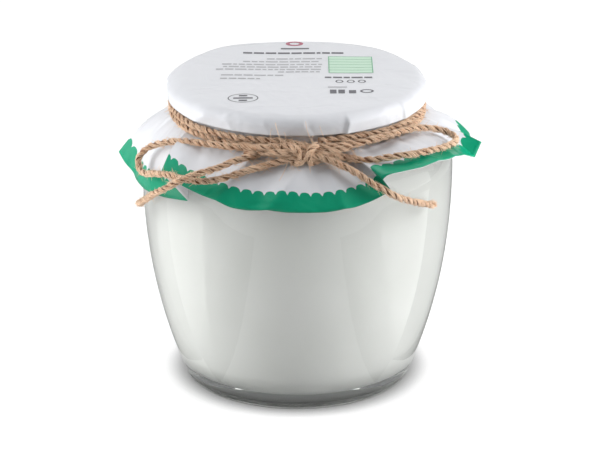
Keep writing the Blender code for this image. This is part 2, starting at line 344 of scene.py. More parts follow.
def brush(curve, points, frames, chance):
    """Adds the spread fibres of a cut end."""
    tangent, side, other = frames[-1]
    for _ in range(FRAY_FIBRES):
        angle = chance.uniform(0.0, 2.0 * math.pi)
        out = math.cos(angle) * side + math.sin(angle) * other
        start = points[-4] + chance.uniform(0.2, 0.9) * out
        heading = tangent + chance.uniform(0.0, 0.35) * out
        long = chance.uniform(1.4, 2.7)
        add_spline(curve, [start + long * t * heading + 0.15 * t * t * out for t in (0.0, 0.35, 0.7, 1.0)],
                   (1.6, 1.6, 1.3, 0.7))


def lying_fibres(curve, points, frames, chance):
    """Adds short fibres that wind along the twine's surface, as the plies' own fibres do."""
    for _ in range(int(len(points) * ROUTE_SPACING * LYING_PER_MM)):
        k = chance.randrange(0, len(points) - 8)
        angle = chance.uniform(0.0, 2.0 * math.pi)
        slope = chance.uniform(0.12, 0.6)
        rise = chance.uniform(0.88, 1.10)
        placed = []
        for step in range(4):
            _, side, other = frames[k + 2 * step]
            around = angle + slope * 2 * step
            off = (rise + 0.03 * step) * TWINE_RADIUS
            placed.append(points[k + 2 * step] + off * (math.cos(around) * side + math.sin(around) * other))
        add_spline(curve, placed, (0.9, 2.0, 1.8, 0.7))


def fibre_curve(name, points, frames, per_mm, reach, frayed, chance):
    """A curve of thin fibres that leave a route's surface and curl away or lie along it."""
    curve = round_curve(name, FIBRE_RADIUS)
    lying_fibres(curve, points, frames, chance)
    if frayed:
        brush(curve, points, frames, chance)
    for _ in range(int(running_lengths(points)[-1] * per_mm)):
        k = chance.randrange(1, len(points) - 1)
        tangent, side, other = frames[k]
        angle = chance.uniform(0.0, 2.0 * math.pi)
        out = math.cos(angle) * side + math.sin(angle) * other
        start = points[k] + 0.86 * TWINE_RADIUS * out
        lean = chance.choice((-1.0, 1.0)) * chance.uniform(0.5, 2.6)
        long = reach * chance.uniform(0.25, 1.0) ** 2.0
        heading = (out + lean * tangent + 0.5 * chance.uniform(-1.0, 1.0) * out.cross(tangent)).normalized()
        curl = chance.uniform(-0.9, 0.9) * out + chance.uniform(-0.4, 0.4) * tangent
        placed = []
        for step in range(4):
            t = step / 3.0
            off = start + long * (t * heading + 0.45 * t * t * curl)
            away = off - points[k]
            sideways = away - tangent * away.dot(tangent)
            if sideways.length > FARTHEST_FIBRE:
                off = off - sideways * (1.0 - FARTHEST_FIBRE / sideways.length)
            placed.append(off)
        add_spline(curve, placed, (1.0, 0.9, 0.7, 0.4))
    return curve


def twine(name, points, seed, per_mm=4.0, reach=2.8, frayed=False):
    """A length of hairy twine along points in mm."""
    chance = random.Random(seed)
    frames = carried_frames(points)
    run = running_lengths(points)
    turn = chance.uniform(0.0, 6.0)
    body = meshed(ply_curve(name, points, frames, run, turn, frayed, chance), name)
    fuzz = meshed(fibre_curve(name + "_fuzz", points, frames, per_mm, reach, frayed, chance), name + "_fuzz")
    body.data.materials.append(jute)
    body.data.materials.append(hair)
    build = bmesh.new()
    build.from_mesh(body.data)
    plies = len(build.faces)
    ply_corners = len(build.verts)
    build.from_mesh(fuzz.data)
    for number, face in enumerate(build.faces):
        face.material_index = int(number >= plies)
    build.to_mesh(body.data)
    build.free()
    bpy.data.objects.remove(fuzz, do_unlink=True)
    untwist(body.data, ply_corners, points, frames, run, turn)
    body.data.shade_smooth()
    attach(body, "root")
    return body


# %% [markdown]
# ## Loops and tails
# The bow has two loops, which lie on the paper's skirt and go back into the knot, and two free tails. Each
# follows the line of its solid, so that the bow stays where it was measured.

# %% The bow's free cords
LOOP_LEFT = (
    (-12.4, -43.4, 92.4), (-16.9, -41.8, 92.0), (-22.5, -39.2, 91.6), (-28.7, -35.2, 91.0),
    (-35.2, -30.0, 89.9), (-41.4, -25.1, 88.1), (-47.0, -21.6, 85.5), (-50.6, -20.2, 82.2),
    (-51.2, -21.6, 79.2), (-49.4, -26.2, 78.0), (-45.8, -33.6, 80.4), (-41.2, -41.0, 82.7),
    (-36.4, -46.7, 83.5), (-31.4, -49.1, 83.5), (-26.1, -49.1, 83.6), (-20.5, -48.2, 84.9),
    (-15.0, -47.6, 86.5), (-10.6, -46.7, 87.5),
)
TAIL_LEFT = (
    (-12.7, -43.5, 90.0), (-15.9, -44.5, 89.6), (-20.5, -46.4, 88.7), (-25.5, -48.5, 87.3),
    (-30.8, -50.9, 86.4), (-35.8, -51.0, 84.6), (-41.0, -46.8, 80.4), (-45.6, -38.4, 75.2),
    (-48.6, -28.8, 70.0), (-51.4, -17.6, 64.4),
)
LOOP_RIGHT = (
    (12.7, -43.3, 92.7), (17.2, -41.7, 92.8), (22.8, -39.1, 93.6), (28.7, -35.1, 93.9),
    (34.0, -29.7, 93.5), (38.5, -25.1, 92.8), (43.7, -22.3, 91.7), (48.2, -21.8, 90.4),
    (50.6, -24.0, 89.4), (50.0, -28.8, 89.2), (46.4, -34.8, 89.7), (41.4, -40.0, 90.3),
    (36.0, -43.6, 90.4), (30.2, -45.1, 90.2), (24.5, -45.1, 89.2), (19.8, -44.2, 88.8),
    (15.7, -43.2, 89.0),
)
TAIL_RIGHT = (
    (11.7, -47.1, 89.0), (15.9, -48.7, 87.5), (19.8, -50.3, 85.6), (23.8, -51.9, 83.4),
    (27.7, -52.2, 81.2), (31.5, -50.6, 78.6), (35.5, -45.8, 75.6), (39.4, -38.8, 72.2),
    (43.3, -31.2, 69.0),
)


def free_cord(name, route, seed, far_end):
    """One of the bow's loops or tails as twine along its route, frayed where its far end is bare."""
    points = smooth_route(route)
    piece = twine(name + "_twine", points, seed, frayed=far_end == "bare")
    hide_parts(name)
    return piece


free_cord("loop_left", LOOP_LEFT, 11, "object")
free_cord("loop_right", LOOP_RIGHT, 12, "object")
free_cord("tail_left", TAIL_LEFT, 13, "bare")
free_cord("tail_right", TAIL_RIGHT, 14, "bare")

# %% [markdown]
# ## The turns and the knot
# Two turns of the same twine hold the paper under the lid. They run level, one below the other, and change
# place behind the knot. The knot itself is a few short lengths that cross, with more fuzz, since knotting
# works the fibres loose.

# %% Turns round the lid
TURNS = ((42.45, 94.2), (42.4, 91.95))
STEP_DOWN = 9.0
SIDE_PINCH = 1.2
WANDER = 0.25


def pinch(azimuth):
    """How much closer the turns lie at the jar's two sides than at its front, in mm."""
    return SIDE_PINCH * math.sin(math.radians(azimuth)) ** 4


def wrap_route(count):
    """Two turns round the cover, the upper one first."""
    (upper_radius, upper_height), (lower_radius, lower_height) = TURNS
    start = -360.0 + STEP_DOWN
    end = 360.0 - STEP_DOWN
    points = []
    for k in range(count + 1):
        azimuth = start + (end - start) * k / count
        share = min(1.0, max(0.0, 0.5 + 0.5 * azimuth / STEP_DOWN))
        ease = share * share * (3.0 - 2.0 * share)
        radius = upper_radius + (lower_radius - upper_radius) * ease
        height = upper_height + (lower_height - upper_height) * ease
        height += WANDER * math.sin(math.radians(3.0 * azimuth + 40.0))
        points.append(on_ring(azimuth, radius - pinch(azimuth), height) / MM)
    return points


turns = twine("turns_twine", wrap_route(1000), 21, per_mm=3.0)
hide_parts("twine_turns")

# %% Knot
KNOT_STRANDS = (
    ((-17.5, -41.1, 92.3), (-12.0, -43.5, 92.6), (-7.7, -44.6, 93.1), (-2.9, -45.3, 93.3),
     (1.9, -45.5, 92.9), (6.7, -44.9, 92.9), (12.3, -43.4, 93.0), (17.5, -41.4, 93.4)),
    ((-16.5, -42.6, 89.8), (-11.7, -43.4, 90.7), (-6.7, -44.7, 91.1), (-1.0, -45.4, 90.8),
     (4.8, -45.2, 90.6), (9.6, -44.4, 90.2), (14.9, -43.1, 89.2), (19.0, -43.5, 88.8)),
    ((-15.2, -47.4, 86.6), (-10.2, -46.6, 87.7), (-5.8, -46.6, 88.9), (-1.0, -46.7, 90.2),
     (3.8, -46.5, 91.2), (8.0, -46.0, 91.6), (12.5, -44.8, 92.3), (17.0, -43.0, 92.6)),
    ((-9.5, -44.9, 91.4), (-5.0, -46.8, 92.0), (-0.5, -47.2, 92.2), (4.5, -47.1, 91.2),
     (8.6, -46.9, 90.0), (11.8, -47.2, 88.9), (15.2, -48.5, 87.8)),
    ((-3.4, -45.6, 94.0), (-1.2, -47.2, 93.9), (0.9, -48.2, 92.6), (1.6, -48.5, 90.8),
     (0.9, -47.9, 89.2), (-0.9, -46.6, 88.6), (-2.2, -45.6, 89.6)),
    ((6.2, -45.2, 94.2), (5.0, -46.9, 94.0), (3.6, -48.1, 92.6), (3.4, -48.4, 90.7),
     (4.2, -47.7, 89.2), (5.8, -46.5, 88.6), (6.6, -45.5, 89.6)),
)
LONG_HAIR_SPACING = 0.8
LONG_HAIRS = (
    ((-5.4, -46.4, 92.6), (-5.2, -45.0, 95.2), (-6.2, -43.9, 98.2), (-6.8, -43.1, 100.6)),
    ((6.2, -46.6, 92.6), (4.4, -45.2, 95.4), (3.1, -44.1, 98.4), (2.6, -43.0, 101.0)),
    ((9.9, -45.8, 92.8), (8.7, -44.8, 95.4), (7.6, -43.9, 97.8), (7.0, -43.3, 99.6)),
    ((-8.9, -45.4, 92.6), (-8.2, -44.6, 95.0), (-8.4, -43.7, 97.2), (-7.9, -43.2, 98.8)),
    ((-2.8, -47.6, 89.6), (-3.6, -48.6, 87.6), (-4.6, -49.6, 85.6), (-5.6, -50.4, 84.0)),
    ((-3.4, -46.2, 92.8), (-3.9, -45.2, 94.8), (-3.6, -44.3, 96.6), (-4.2, -43.9, 97.8)),
)
strands = [twine(f"knot_strand_{k}", smooth_route(route), 31 + k, per_mm=9.0, reach=4.2)
           for k, route in enumerate(KNOT_STRANDS)]
hair_curve = round_curve("long_hairs", FIBRE_RADIUS)
for route in LONG_HAIRS:
    line = smooth_route(route, LONG_HAIR_SPACING)
    add_spline(hair_curve, line, [1.9 - 0.8 * k / len(line) for k in range(len(line))])
long_hairs = meshed(hair_curve, "long_hairs")
for face in long_hairs.data.polygons:
    face.material_index = 1
strands.append(long_hairs)
knot_build = bmesh.new()
for strand in strands:
    knot_build.from_mesh(strand.data)
knot = strands[0]
knot.name = "knot_twine"
knot_build.to_mesh(knot.data)
knot_build.free()
knot.data.shade_smooth()
for strand in strands[1:]:
    bpy.data.objects.remove(strand, do_unlink=True)
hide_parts("knot")
print("knot:", len(knot.data.polygons), "faces")

# %% [markdown]
# ## Glass
# The jar is blown into a mould: thick at the foot, thin at the shoulder, with a rounded heel. It is a turned
# form, so one outline, drawn from the middle of the floor up the inside, over the rim and down the outside,
# is spun round the axis. The outline is fine here, because every ripple shows in a reflection.

# %% Outline of the glass
BELLY_RADIUS = 51.3
BELLY_HEIGHT = 73.0
FOOT_SPREAD = 13.4
FOOT_POWER = 2.2
HEEL_ROUND = 1.6
SHOULDER_POWER = 0.8
NECK_RADIUS = 39.6
NECK_BASE = 88.0
RIM_HEIGHT = 101.0
WALL = 2.6
WALL_DROP = 1.2
FLOOR = 5.2
FLOOR_CORNER = 7.0
PUSH_UP = 1.2
RING_INNER = 34.0
TURNED_STEPS = 224
CORNER_STEPS = 16
WALL_STEPS = 44
RIM_STEPS = 12
OUTSIDE_STEPS = 90
HEEL_STEPS = 8


def body_radius(height):
    """The glass's outer radius at a height, in mm."""
    if height <= BELLY_HEIGHT:
        below = 1.0 - height / BELLY_HEIGHT
        return BELLY_RADIUS - FOOT_SPREAD * below ** FOOT_POWER
    rise = min(1.0, (height - BELLY_HEIGHT) / (NECK_BASE - BELLY_HEIGHT))
    return NECK_RADIUS + (BELLY_RADIUS - NECK_RADIUS) * (1.0 - rise * rise) ** SHOULDER_POWER


def inside_radius(height):
    """The glass's inner radius at a height, with the rounded corner at its floor."""
    corner = 0.0
    if height < FLOOR + FLOOR_CORNER:
        part = 1.0 - (height - FLOOR) / FLOOR_CORNER
        corner = FLOOR_CORNER * (1.0 - math.sqrt(max(0.0, 1.0 - part * part)))
    return body_radius(height + WALL_DROP) - WALL - corner


def inside_outline(grow, top):
    """The inside from the middle of the floor to a top, moved into the glass by grow."""
    points = [(0.0, FLOOR - grow), (12.0, FLOOR - grow), (24.0, FLOOR - grow)]
    for step in range(CORNER_STEPS + 1):
        up = math.cos(0.5 * math.pi * step / CORNER_STEPS)
        height = FLOOR + FLOOR_CORNER * (1.0 - up)
        points.append((inside_radius(height) + grow, height - grow * up))
    corner_top = FLOOR + FLOOR_CORNER
    for step in range(1, WALL_STEPS + 1):
        height = corner_top + (NECK_BASE - corner_top) * math.sin(0.5 * math.pi * step / WALL_STEPS)
        if height < top:
            points.append((inside_radius(height) + grow, height))
    points.append((inside_radius(top) + grow, top))
    return points


def turned(name, outline, material):
    """An outline of (radius, height) points in mm, spun round the axis."""
    build = bmesh.new()
    points = [build.verts.new((radius * MM, 0.0, height * MM)) for radius, height in outline]
    edges = [build.edges.new(pair) for pair in zip(points, points[1:])]
    bmesh.ops.spin(build, geom=points + edges, cent=(0, 0, 0), axis=(0, 0, 1), angle=2 * math.pi,
                   steps=TURNED_STEPS, use_merge=True)
    bmesh.ops.remove_doubles(build, verts=build.verts, dist=0.002 * MM)
    bmesh.ops.recalc_face_normals(build, faces=build.faces)
    piece = object_from(build, name, material)
    piece.data.shade_smooth()
    piece.data.set_sharp_from_angle(angle=math.radians(50))
    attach(piece, "root")
    return piece


# %% [markdown]
# Glass lets lamps through. A path tracer would only find the lamp behind it by luck, so shadow rays pass
# straight through, and every other ray meets real glass with its reflections and bending.

# %% Glass material and piece
glass, glass_shader = plain("glass", (0.955, 0.975, 0.955), 0.0, IOR=1.5, Transmission_Weight=1.0)
tree = glass.node_tree
clear = node(tree, "ShaderNodeBsdfTransparent")
clear.inputs["Color"].default_value = (0.97, 0.98, 0.97, 1.0)
choose = node(tree, "ShaderNodeMixShader")
shadow = node(tree, "ShaderNodeLightPath").outputs["Is Shadow Ray"]
tree.links.new(shadow, choose.inputs["Fac"])
tree.links.new(glass_shader.outputs["BSDF"], choose.inputs[1])
tree.links.new(clear.outputs["BSDF"], choose.inputs[2])
tree.links.new(choose.outputs["Shader"], tree.nodes["Material Output"].inputs["Surface"])


def glass_outline():
    """The glass's section: up the inside, over the rim, down the outside and under the foot."""
    points = inside_outline(0.0, NECK_BASE)
    rim_round = 0.5 * WALL
    for step in range(RIM_STEPS + 1):
        angle = math.pi * (1.0 - step / RIM_STEPS)
        points.append((NECK_RADIUS - rim_round + rim_round * math.cos(angle),
                       RIM_HEIGHT - rim_round * (1.0 - math.sin(angle))))
    for step in range(OUTSIDE_STEPS, -1, -1):
        height = HEEL_ROUND + (NECK_BASE - HEEL_ROUND) * math.sin(0.5 * math.pi * step / OUTSIDE_STEPS)
        points.append((body_radius(height), height))
    heel = body_radius(HEEL_ROUND) - HEEL_ROUND
    for step in range(1, HEEL_STEPS + 1):
        angle = 0.5 * math.pi * step / HEEL_STEPS
        points.append((heel + HEEL_ROUND * math.cos(angle), HEEL_ROUND * (1.0 - math.sin(angle))))
    points += [(35.6, 0.0), (RING_INNER, 0.12), (33.0, 0.35), (31.0, 0.75), (26.0, 1.05)]
    return points + [(17.0, PUSH_UP), (0.0, PUSH_UP)]


jar = turned("jar_glass", glass_outline(), glass)
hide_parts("jar")
print("glass:", len(jar.data.polygons), "faces")

# %% [markdown]
# ## Yogurt
# Yogurt wets the glass, so no air shows between them. Its surface therefore lies a fraction of a millimetre
# inside the wall: a ray through the glass meets white before it meets the inner wall, as in the real jar.

# %% Yogurt material and piece
FILL_HEIGHT = 86.0
INTO_WALL = 0.22

white, white_shader = plain("yogurt", (0.86, 0.86, 0.84), 0.45, Subsurface_Weight=0.0)
tree = white.node_tree
place = node(tree, "ShaderNodeTexCoord").outputs["Object"]
clouds = noise_at(tree, place, 38.0, 2.0)
tree.links.new(between(tree, clouds, (0.845, 0.848, 0.828), (0.875, 0.876, 0.862), 0.35, 0.65),
               white_shader.inputs["Base Color"])
yogurt = turned("yogurt_fill", inside_outline(INTO_WALL, FILL_HEIGHT) + [(0.0, FILL_HEIGHT)], white)
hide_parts("yogurt")

# %% [markdown]
# ## Paper cover
# One round sheet of thin printed paper is pressed down over the lid and tied below it. What the tie gathers
# has to go somewhere: into creases on the side, and into flat pleats and waves in the skirt. So the sheet is
# made as what it is, a flat disc of rings and spokes, and each of its points is then moved to where it lies.
# The skirt's hem is a list of places round the jar, and where the sheet doubles back on itself the list
# does too.

# %% Hem of the skirt
TIE_RADIUS = 41.0
TIE_HEIGHT = 90.6
HEM_RING_RADIUS = 42.4
HEM_RING_HEIGHT = 90.4
SKIRT_BULGE = 1.3
SCALLOPS = 104
SPOKES_PER_SCALLOP = 6
SPOKES = SCALLOPS * SPOKES_PER_SCALLOP
HEM_STEPS = 20

# azimuth at the hem, droop below level, length from the hem's ring, azimuth at the tie, and 1 for a fold
HEM = (
    (-176, 40, 20.0, -176, 0), (-160, 47, 21.0, -160, 0), (-146, 38, 20.5, -146, 0),
    (-131, 52, 21.0, -131, 0), (-117, 56, 20.5, -117, 0), (-105, 50, 20.5, -105, 0),
    (-97, 43, 21.6, -98, 0), (-90.5, 40.8, 22.2, -93, 1), (-87.5, 49.5, 22.6, -89, 0),
    (-83.6, 57.5, 22.7, -85, 0), (-77, 59.2, 22.9, -80, 0), (-69, 59.5, 22.8, -73, 0),
    (-60.3, 57, 22.3, -66, 0), (-51, 54.5, 21.6, -60, 0), (-45, 53.2, 20.9, -57, 0),
    (-38.6, 51.5, 20.3, -54, 1), (-48.6, 27.5, 17.0, -58, 1), (-39.6, 35, 17.9, -49, 0),
    (-27, 44, 19.2, -31, 0), (-18, 47.5, 20.2, -19, 0), (0, 46.5, 20.4, -3, 0), (14, 46.5, 20.4, 9, 0),
    (22, 43, 19.4, 15, 0), (27.5, 38.3, 18.5, 19, 0), (31.0, 34.8, 17.4, 22, 1),
    (27.3, 19.6, 16.5, 19, 1), (29.2, 14.5, 16.6, 24, 0), (34, 12, 17.4, 31, 0), (42, 11, 18.3, 41, 0),
    (52, 12, 19.0, 52, 0), (60.6, 15, 19.2, 62, 1), (74.3, 31.5, 20.4, 71, 1),
    (76.8, 17.4, 20.0, 75, 1), (84, 37, 19.3, 83, 0), (95, 31.4, 17.4, 94, 1),
    (101.5, 60, 22.4, 101, 0), (112, 47, 20.4, 112, 0), (125, 54, 20.5, 125, 0),
    (139, 56, 20.5, 139, 0), (152, 40, 20.0, 152, 0), (168, 49, 21.0, 168, 0),
)


def hem_place(station):
    """A hem station's point in mm."""
    azimuth, droop, length, _, _ = station
    angle = math.radians(droop)
    radius = HEM_RING_RADIUS + length * math.cos(angle)
    return on_ring(azimuth, radius, HEM_RING_HEIGHT - length * math.sin(angle)) / MM


def hem_columns(count):
    """The hem's points and their azimuths at the tie, at equal steps along the paper's edge."""
    first = next(k for k, station in enumerate(HEM) if station[4])
    order = HEM[first:] + HEM[:first] + (HEM[first],)
    places = [hem_place(station) for station in order]
    ties = [station[3] for station in order]
    for k in range(1, len(ties)):
        while ties[k] < ties[k - 1] - 180.0:
            ties[k] += 360.0
    folds = [k for k, station in enumerate(order) if station[4]]
    line = []
    for start, end in zip(folds, folds[1:]):
        run = with_ends(places[start:end + 1])
        for k, (a, b, c, d) in enumerate(zip(run, run[1:], run[2:], run[3:])):
            for step in range(HEM_STEPS):
                t = step / HEM_STEPS
                tie = ties[start + k] + (ties[start + k + 1] - ties[start + k]) * t
                line.append((on_curve(a, b, c, d, t), tie))
    line.append((places[-1], ties[-1]))
    run = running_lengths([point for point, _ in line])
    columns = []
    k = 0
    for step in range(count):
        wanted = run[-1] * step / count
        while run[k + 1] < wanted:
            k += 1
        share = (wanted - run[k]) / max(1e-9, run[k + 1] - run[k])
        point = line[k][0].lerp(line[k + 1][0], share)
        columns.append((point, line[k][1] + (line[k + 1][1] - line[k][1]) * share))
    return columns, run[-1]


columns, hem_length = hem_columns(SPOKES)
print(f"hem {hem_length:.0f} mm, a scallop {hem_length / SCALLOPS:.2f} mm")

# %% Where each spoke lies on the flat top
EVENED_OVER = 26


def even_azimuths():
    """The spokes' azimuths on the flat top: those at the tie, with the folds evened out."""
    evened = []
    for column in range(SPOKES):
        near = range(column - EVENED_OVER, column + EVENED_OVER + 1)
        total = sum(columns[k % SPOKES][1] + 360.0 * (k // SPOKES) for k in near)
        evened.append(total / len(near))
    return evened


top_azimuths = even_azimuths()

# %% [markdown]
# The lid's outline isn't quite round under the paper: the sheet bridges from crease to crease. The side has
# low ridges where pleats run up to the edge, and the flat top ends in a soft shoulder, wider at the left.
# The twine sits a little deeper at the two sides, and the paper with it.

# %% Top and side of the cover
TOP_HEIGHT = 102.4
LID_RADIUS = 43.0
LID_DROP = 3.2
FLAT_RADIUS = 39.4
TOP_WAVE = 0.3
TOP_SINK = 0.25
LID_PINCH = 0.35
TOP_ROWS = 8
EDGE_ROWS = 7
SIDE_HEIGHTS = (98.3, 97.6, 96.9, 96.3, 95.8, 95.4, 95.0, 94.2, 92.6, 90.6)
SIDE_ROWS = len(SIDE_HEIGHTS)
SIDE_ENDS = 96.4
PULLED_IN = 95.1
SKIRT_ROWS = 15
BORDER_ROWS = 6
EAR_WIDTH = 15.0
EARS = ((-146, 3.2), (143, 3.2), (-108, 1.0))
# azimuth at the edge, lean to the tie, width (below 0 for the far side) and fall in degrees, height in mm
CREASES = (
    (-100, -3, 12, 2.5, 0.5), (-43, -8, 16, 6, 0.8), (-31, 4, 6, 2.5, 0.2), (-14, 4, 6, 2, 0.3),
    (3, 4, 5, 1.5, 0.35), (22, -1.5, -15, 1.4, 0.95), (52.5, 0.5, -9, 1.2, 0.55), (84, 2, -9, 2, 0.4),
    (110, 1, 12, 2, 0.5), (165, 4, 10, 2, 0.5), (-170, -3, 12, 2, 0.5), (-124, 2, 10, 2, 0.4),
)


def wrapped(angle):
    """An angle in degrees between -180 and 180."""
    return (angle + 180.0) % 360.0 - 180.0


def bump_at(azimuth, middle, width):
    """A smooth bump of height 1 at an azimuth."""
    return math.exp(-((wrapped(azimuth - middle) / width) ** 2))


def side_swell(azimuth, down):
    """How far the paper stands out from the lid, in mm; down is 0 at the top edge and 1 at the tie."""
    swell = sum(size * bump_at(azimuth, middle, EAR_WIDTH) for middle, size in EARS) * (1.0 - down) ** 1.3
    for middle, lean, width, fall, height in CREASES:
        across = math.copysign(1.0, width) * wrapped(azimuth - middle - lean * down)
        if -abs(width) < across <= 0.0:
            swell += height * (1.0 + across / abs(width)) ** 2
        elif 0.0 < across < fall:
            swell += height * (1.0 - across / fall)
    return swell


def top_height(x, y):
    """The height of the paper's flat top over a place in mm."""
    wave = noise.noise(Vector((0.045 * x + 3.1, 0.045 * y, 0.7)))
    return TOP_HEIGHT - TOP_SINK + TOP_WAVE * wave


def side_place(column, height):
    """A point on the side of the cover, which the twine pulls in below the lid."""
    pull = min(1.0, max(0.0, (SIDE_ENDS - height) / (SIDE_ENDS - PULLED_IN)))
    pull = pull * pull * (3.0 - 2.0 * pull)
    down = min(1.0, (TOP_HEIGHT - LID_DROP - height) / (TOP_HEIGHT - LID_DROP - PULLED_IN))
    azimuth = top_azimuths[column] + (columns[column][1] - top_azimuths[column]) * down ** 1.5
    lid = LID_RADIUS + side_swell(azimuth, down) - LID_PINCH * pinch(azimuth)
    tied = TIE_RADIUS - pinch(azimuth) * min(1.0, 0.5 * (height - TIE_HEIGHT))
    radius = lid * (1.0 - pull) + tied * pull
    return on_ring(azimuth, radius, height) / MM


def cover_point(column, row):
    """A point of the cover in mm. Rows go from the middle of the top out to the tie."""
    azimuth = top_azimuths[column]
    flat = FLAT_RADIUS - 4.6 * bump_at(azimuth, -79.0, 24.0) - 1.0 * bump_at(azimuth, 70.0, 30.0)
    if row <= TOP_ROWS:
        place = on_ring(azimuth, flat * row / TOP_ROWS, 0.0) / MM
        place.z = top_height(place.x, place.y)
        return place
    if row <= TOP_ROWS + EDGE_ROWS:
        turn = 0.5 * math.pi * (row - TOP_ROWS) / EDGE_ROWS
        edge = LID_RADIUS + side_swell(azimuth, 0.0) - LID_PINCH * pinch(azimuth)
        place = on_ring(azimuth, flat + (edge - flat) * math.sin(turn) ** 0.92, 0.0) / MM
        rim = on_ring(azimuth, flat, 0.0) / MM
        place.z = top_height(rim.x, rim.y) - LID_DROP * (1.0 - math.cos(turn) ** 1.15)
        return place
    return side_place(column, SIDE_HEIGHTS[row - TOP_ROWS - EDGE_ROWS - 1])


# %% [markdown]
# The skirt hangs between the tie and the hem. Each spoke is nearly straight with a slight outward bulge, as
# stiff paper is. Fine gathers fade out from the tie, and a few sharp ridges run on to the hem. The last rows
# follow the printed scallops, so the green border is real faces with a clean edge.

# %% Skirt of the cover
BORDER_WIDTH = 5.2
SCALLOP_DEPTH = 1.35
# azimuth, width in degrees and height in mm of the stretches that bulge more or less than the rest
BULGES = ((-70, 22, 1.2), (27, 12, -1.4), (101, 12, 0.6))
# azimuth at the tie and at the hem, half width in degrees, height in mm
RIDGES = (
    (6, -9.5, 7, 1.3), (9, 15, 6, 1.1), (-16, -27, 6, 0.8), (40, 47, 7, 0.9), (56, 55, 5, 0.7),
    (-98, -101, 5, 0.7), (86, 90, 5, 0.8), (118, 113, 7, 0.9), (140, 146, 6, 0.8), (165, 160, 7, 0.9),
    (-170, -168, 6, 0.8), (-148, -153, 6, 0.8), (-125, -122, 6, 0.9),
)


def gathers(column, share):
    """The height of the fine gathers and the slow waves at a spoke, in mm."""
    angle = 2.0 * math.pi * column / SPOKES
    fine = math.sin(47 * angle + 2.0 * math.sin(5 * angle)) + 0.7 * math.sin(83 * angle + 1.3)
    slow = math.sin(19 * angle + 1.5 * math.sin(3 * angle) + 0.8) + 0.6 * math.sin(31 * angle)
    return 0.22 * fine * math.exp(-share / 0.28) + 0.24 * slow * math.sin(math.pi * min(1.0, share)) ** 0.7


def ridges(column, share):
    """The height of the skirt's sharp creases, which run slanting from the tie to the hem, in mm."""
    hem, tie = columns[column]
    swing = wrapped(math.degrees(math.atan2(hem.x, -hem.y)) - tie)
    azimuth = tie + swing * share
    height = 0.0
    for tie_side, hem_side, width, size in RIDGES:
        u = abs(wrapped(azimuth - tie_side - (hem_side - tie_side) * share)) / width
        if u < 1.0:
            height += size * (1.0 - u) ** 1.4
    return height * min(1.0, 4.0 * share)


def border_width(column):
    """The printed border's width at a spoke, in mm: a round bump for each scallop."""
    u = (column % SPOKES_PER_SCALLOP) / SPOKES_PER_SCALLOP
    return BORDER_WIDTH + SCALLOP_DEPTH * math.sqrt(max(0.0, 1.0 - (2.0 * u - 1.0) ** 2))


def skirt_point(column, row):
    """A point of the skirt in mm; rows go from the tie to the hem."""
    hem, tie = columns[column]
    start = on_ring(tie, TIE_RADIUS, TIE_HEIGHT) / MM
    length = (hem - start).length
    border = 1.0 - border_width(column) / length
    if row <= SKIRT_ROWS:
        share = border * row / SKIRT_ROWS
    else:
        share = border + (1.0 - border) * (row - SKIRT_ROWS) / BORDER_ROWS
    run = (hem - start).normalized()
    up = Vector((0.0, 0.0, 1.0))
    out = (up - run * run.z).normalized()
    bulge = SKIRT_BULGE + sum(size * bump_at(tie, middle, width) for middle, width, size in BULGES)
    lift = bulge * math.sin(math.pi * share) + gathers(column, share) + ridges(column, share)
    return start + (hem - start) * share + out * lift


# %% Flat sheet to folded cover
def folded_cover():
    """A flat disc spun from a line of points, with each point moved to its folded place."""
    rows = TOP_ROWS + EDGE_ROWS + SIDE_ROWS + SKIRT_ROWS + BORDER_ROWS
    build = bmesh.new()
    flat = build.loops.layers.uv.new("sheet")
    line = [build.verts.new((k * MM, 0.0, 0.0)) for k in range(rows + 1)]
    edges = [build.edges.new(pair) for pair in zip(line, line[1:])]
    bmesh.ops.spin(build, geom=line + edges, cent=(0, 0, 0), axis=(0, 0, 1), angle=2 * math.pi, steps=SPOKES,
                   use_merge=True)
    bmesh.ops.remove_doubles(build, verts=build.verts, dist=0.002 * MM)
    where = {}
    for vert in build.verts:
        row = round(vert.co.xy.length / MM)
        column = round(math.atan2(vert.co.y, vert.co.x) / (2 * math.pi) * SPOKES) % SPOKES
        where[vert] = (row, column)
    last_paper = rows - BORDER_ROWS
    tied_row = TOP_ROWS + EDGE_ROWS + SIDE_ROWS
    for face in build.faces:
        if min(where[vert][0] for vert in face.verts) >= last_paper:
            face.material_index = 1
        for loop in face.loops:
            loop[flat].uv = loop.vert.co.xy / (100 * MM)
    for vert, (row, column) in where.items():
        if row <= tied_row:
            place = cover_point(column, row)
        else:
            place = skirt_point(column, row - tied_row)
        vert.co = place * MM
    bmesh.ops.recalc_face_normals(build, faces=build.faces)
    top = max(build.faces, key=lambda face: face.calc_center_median().z)
    if top.normal.z < 0.0:
        bmesh.ops.reverse_faces(build, faces=build.faces)
    made = object_from(build, "cover_sheet")
    made.data.shade_smooth()
    made.data.set_sharp_from_angle(angle=math.radians(38))
    return made


cover = folded_cover()
thick = cover.modifiers.new("paper", "SOLIDIFY")
thick.thickness = 0.16 * MM
thick.offset = -1.0
thick.material_offset = 2
thick.material_offset_rim = 2
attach(cover, "root")
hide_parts("paper_cover")
print("cover:", len(cover.data.polygons), "faces")

# %% [markdown]
# ## Paper and print
# Thin coated paper has a satin sheen, so small dents show as soft bright and dark patches. They come from a
# bump with two sizes of noise. The green print is the same paper under a smooth film of ink.

# %% Crumple, shared by the paper and the print
GRAIN_SHARE = 0.035

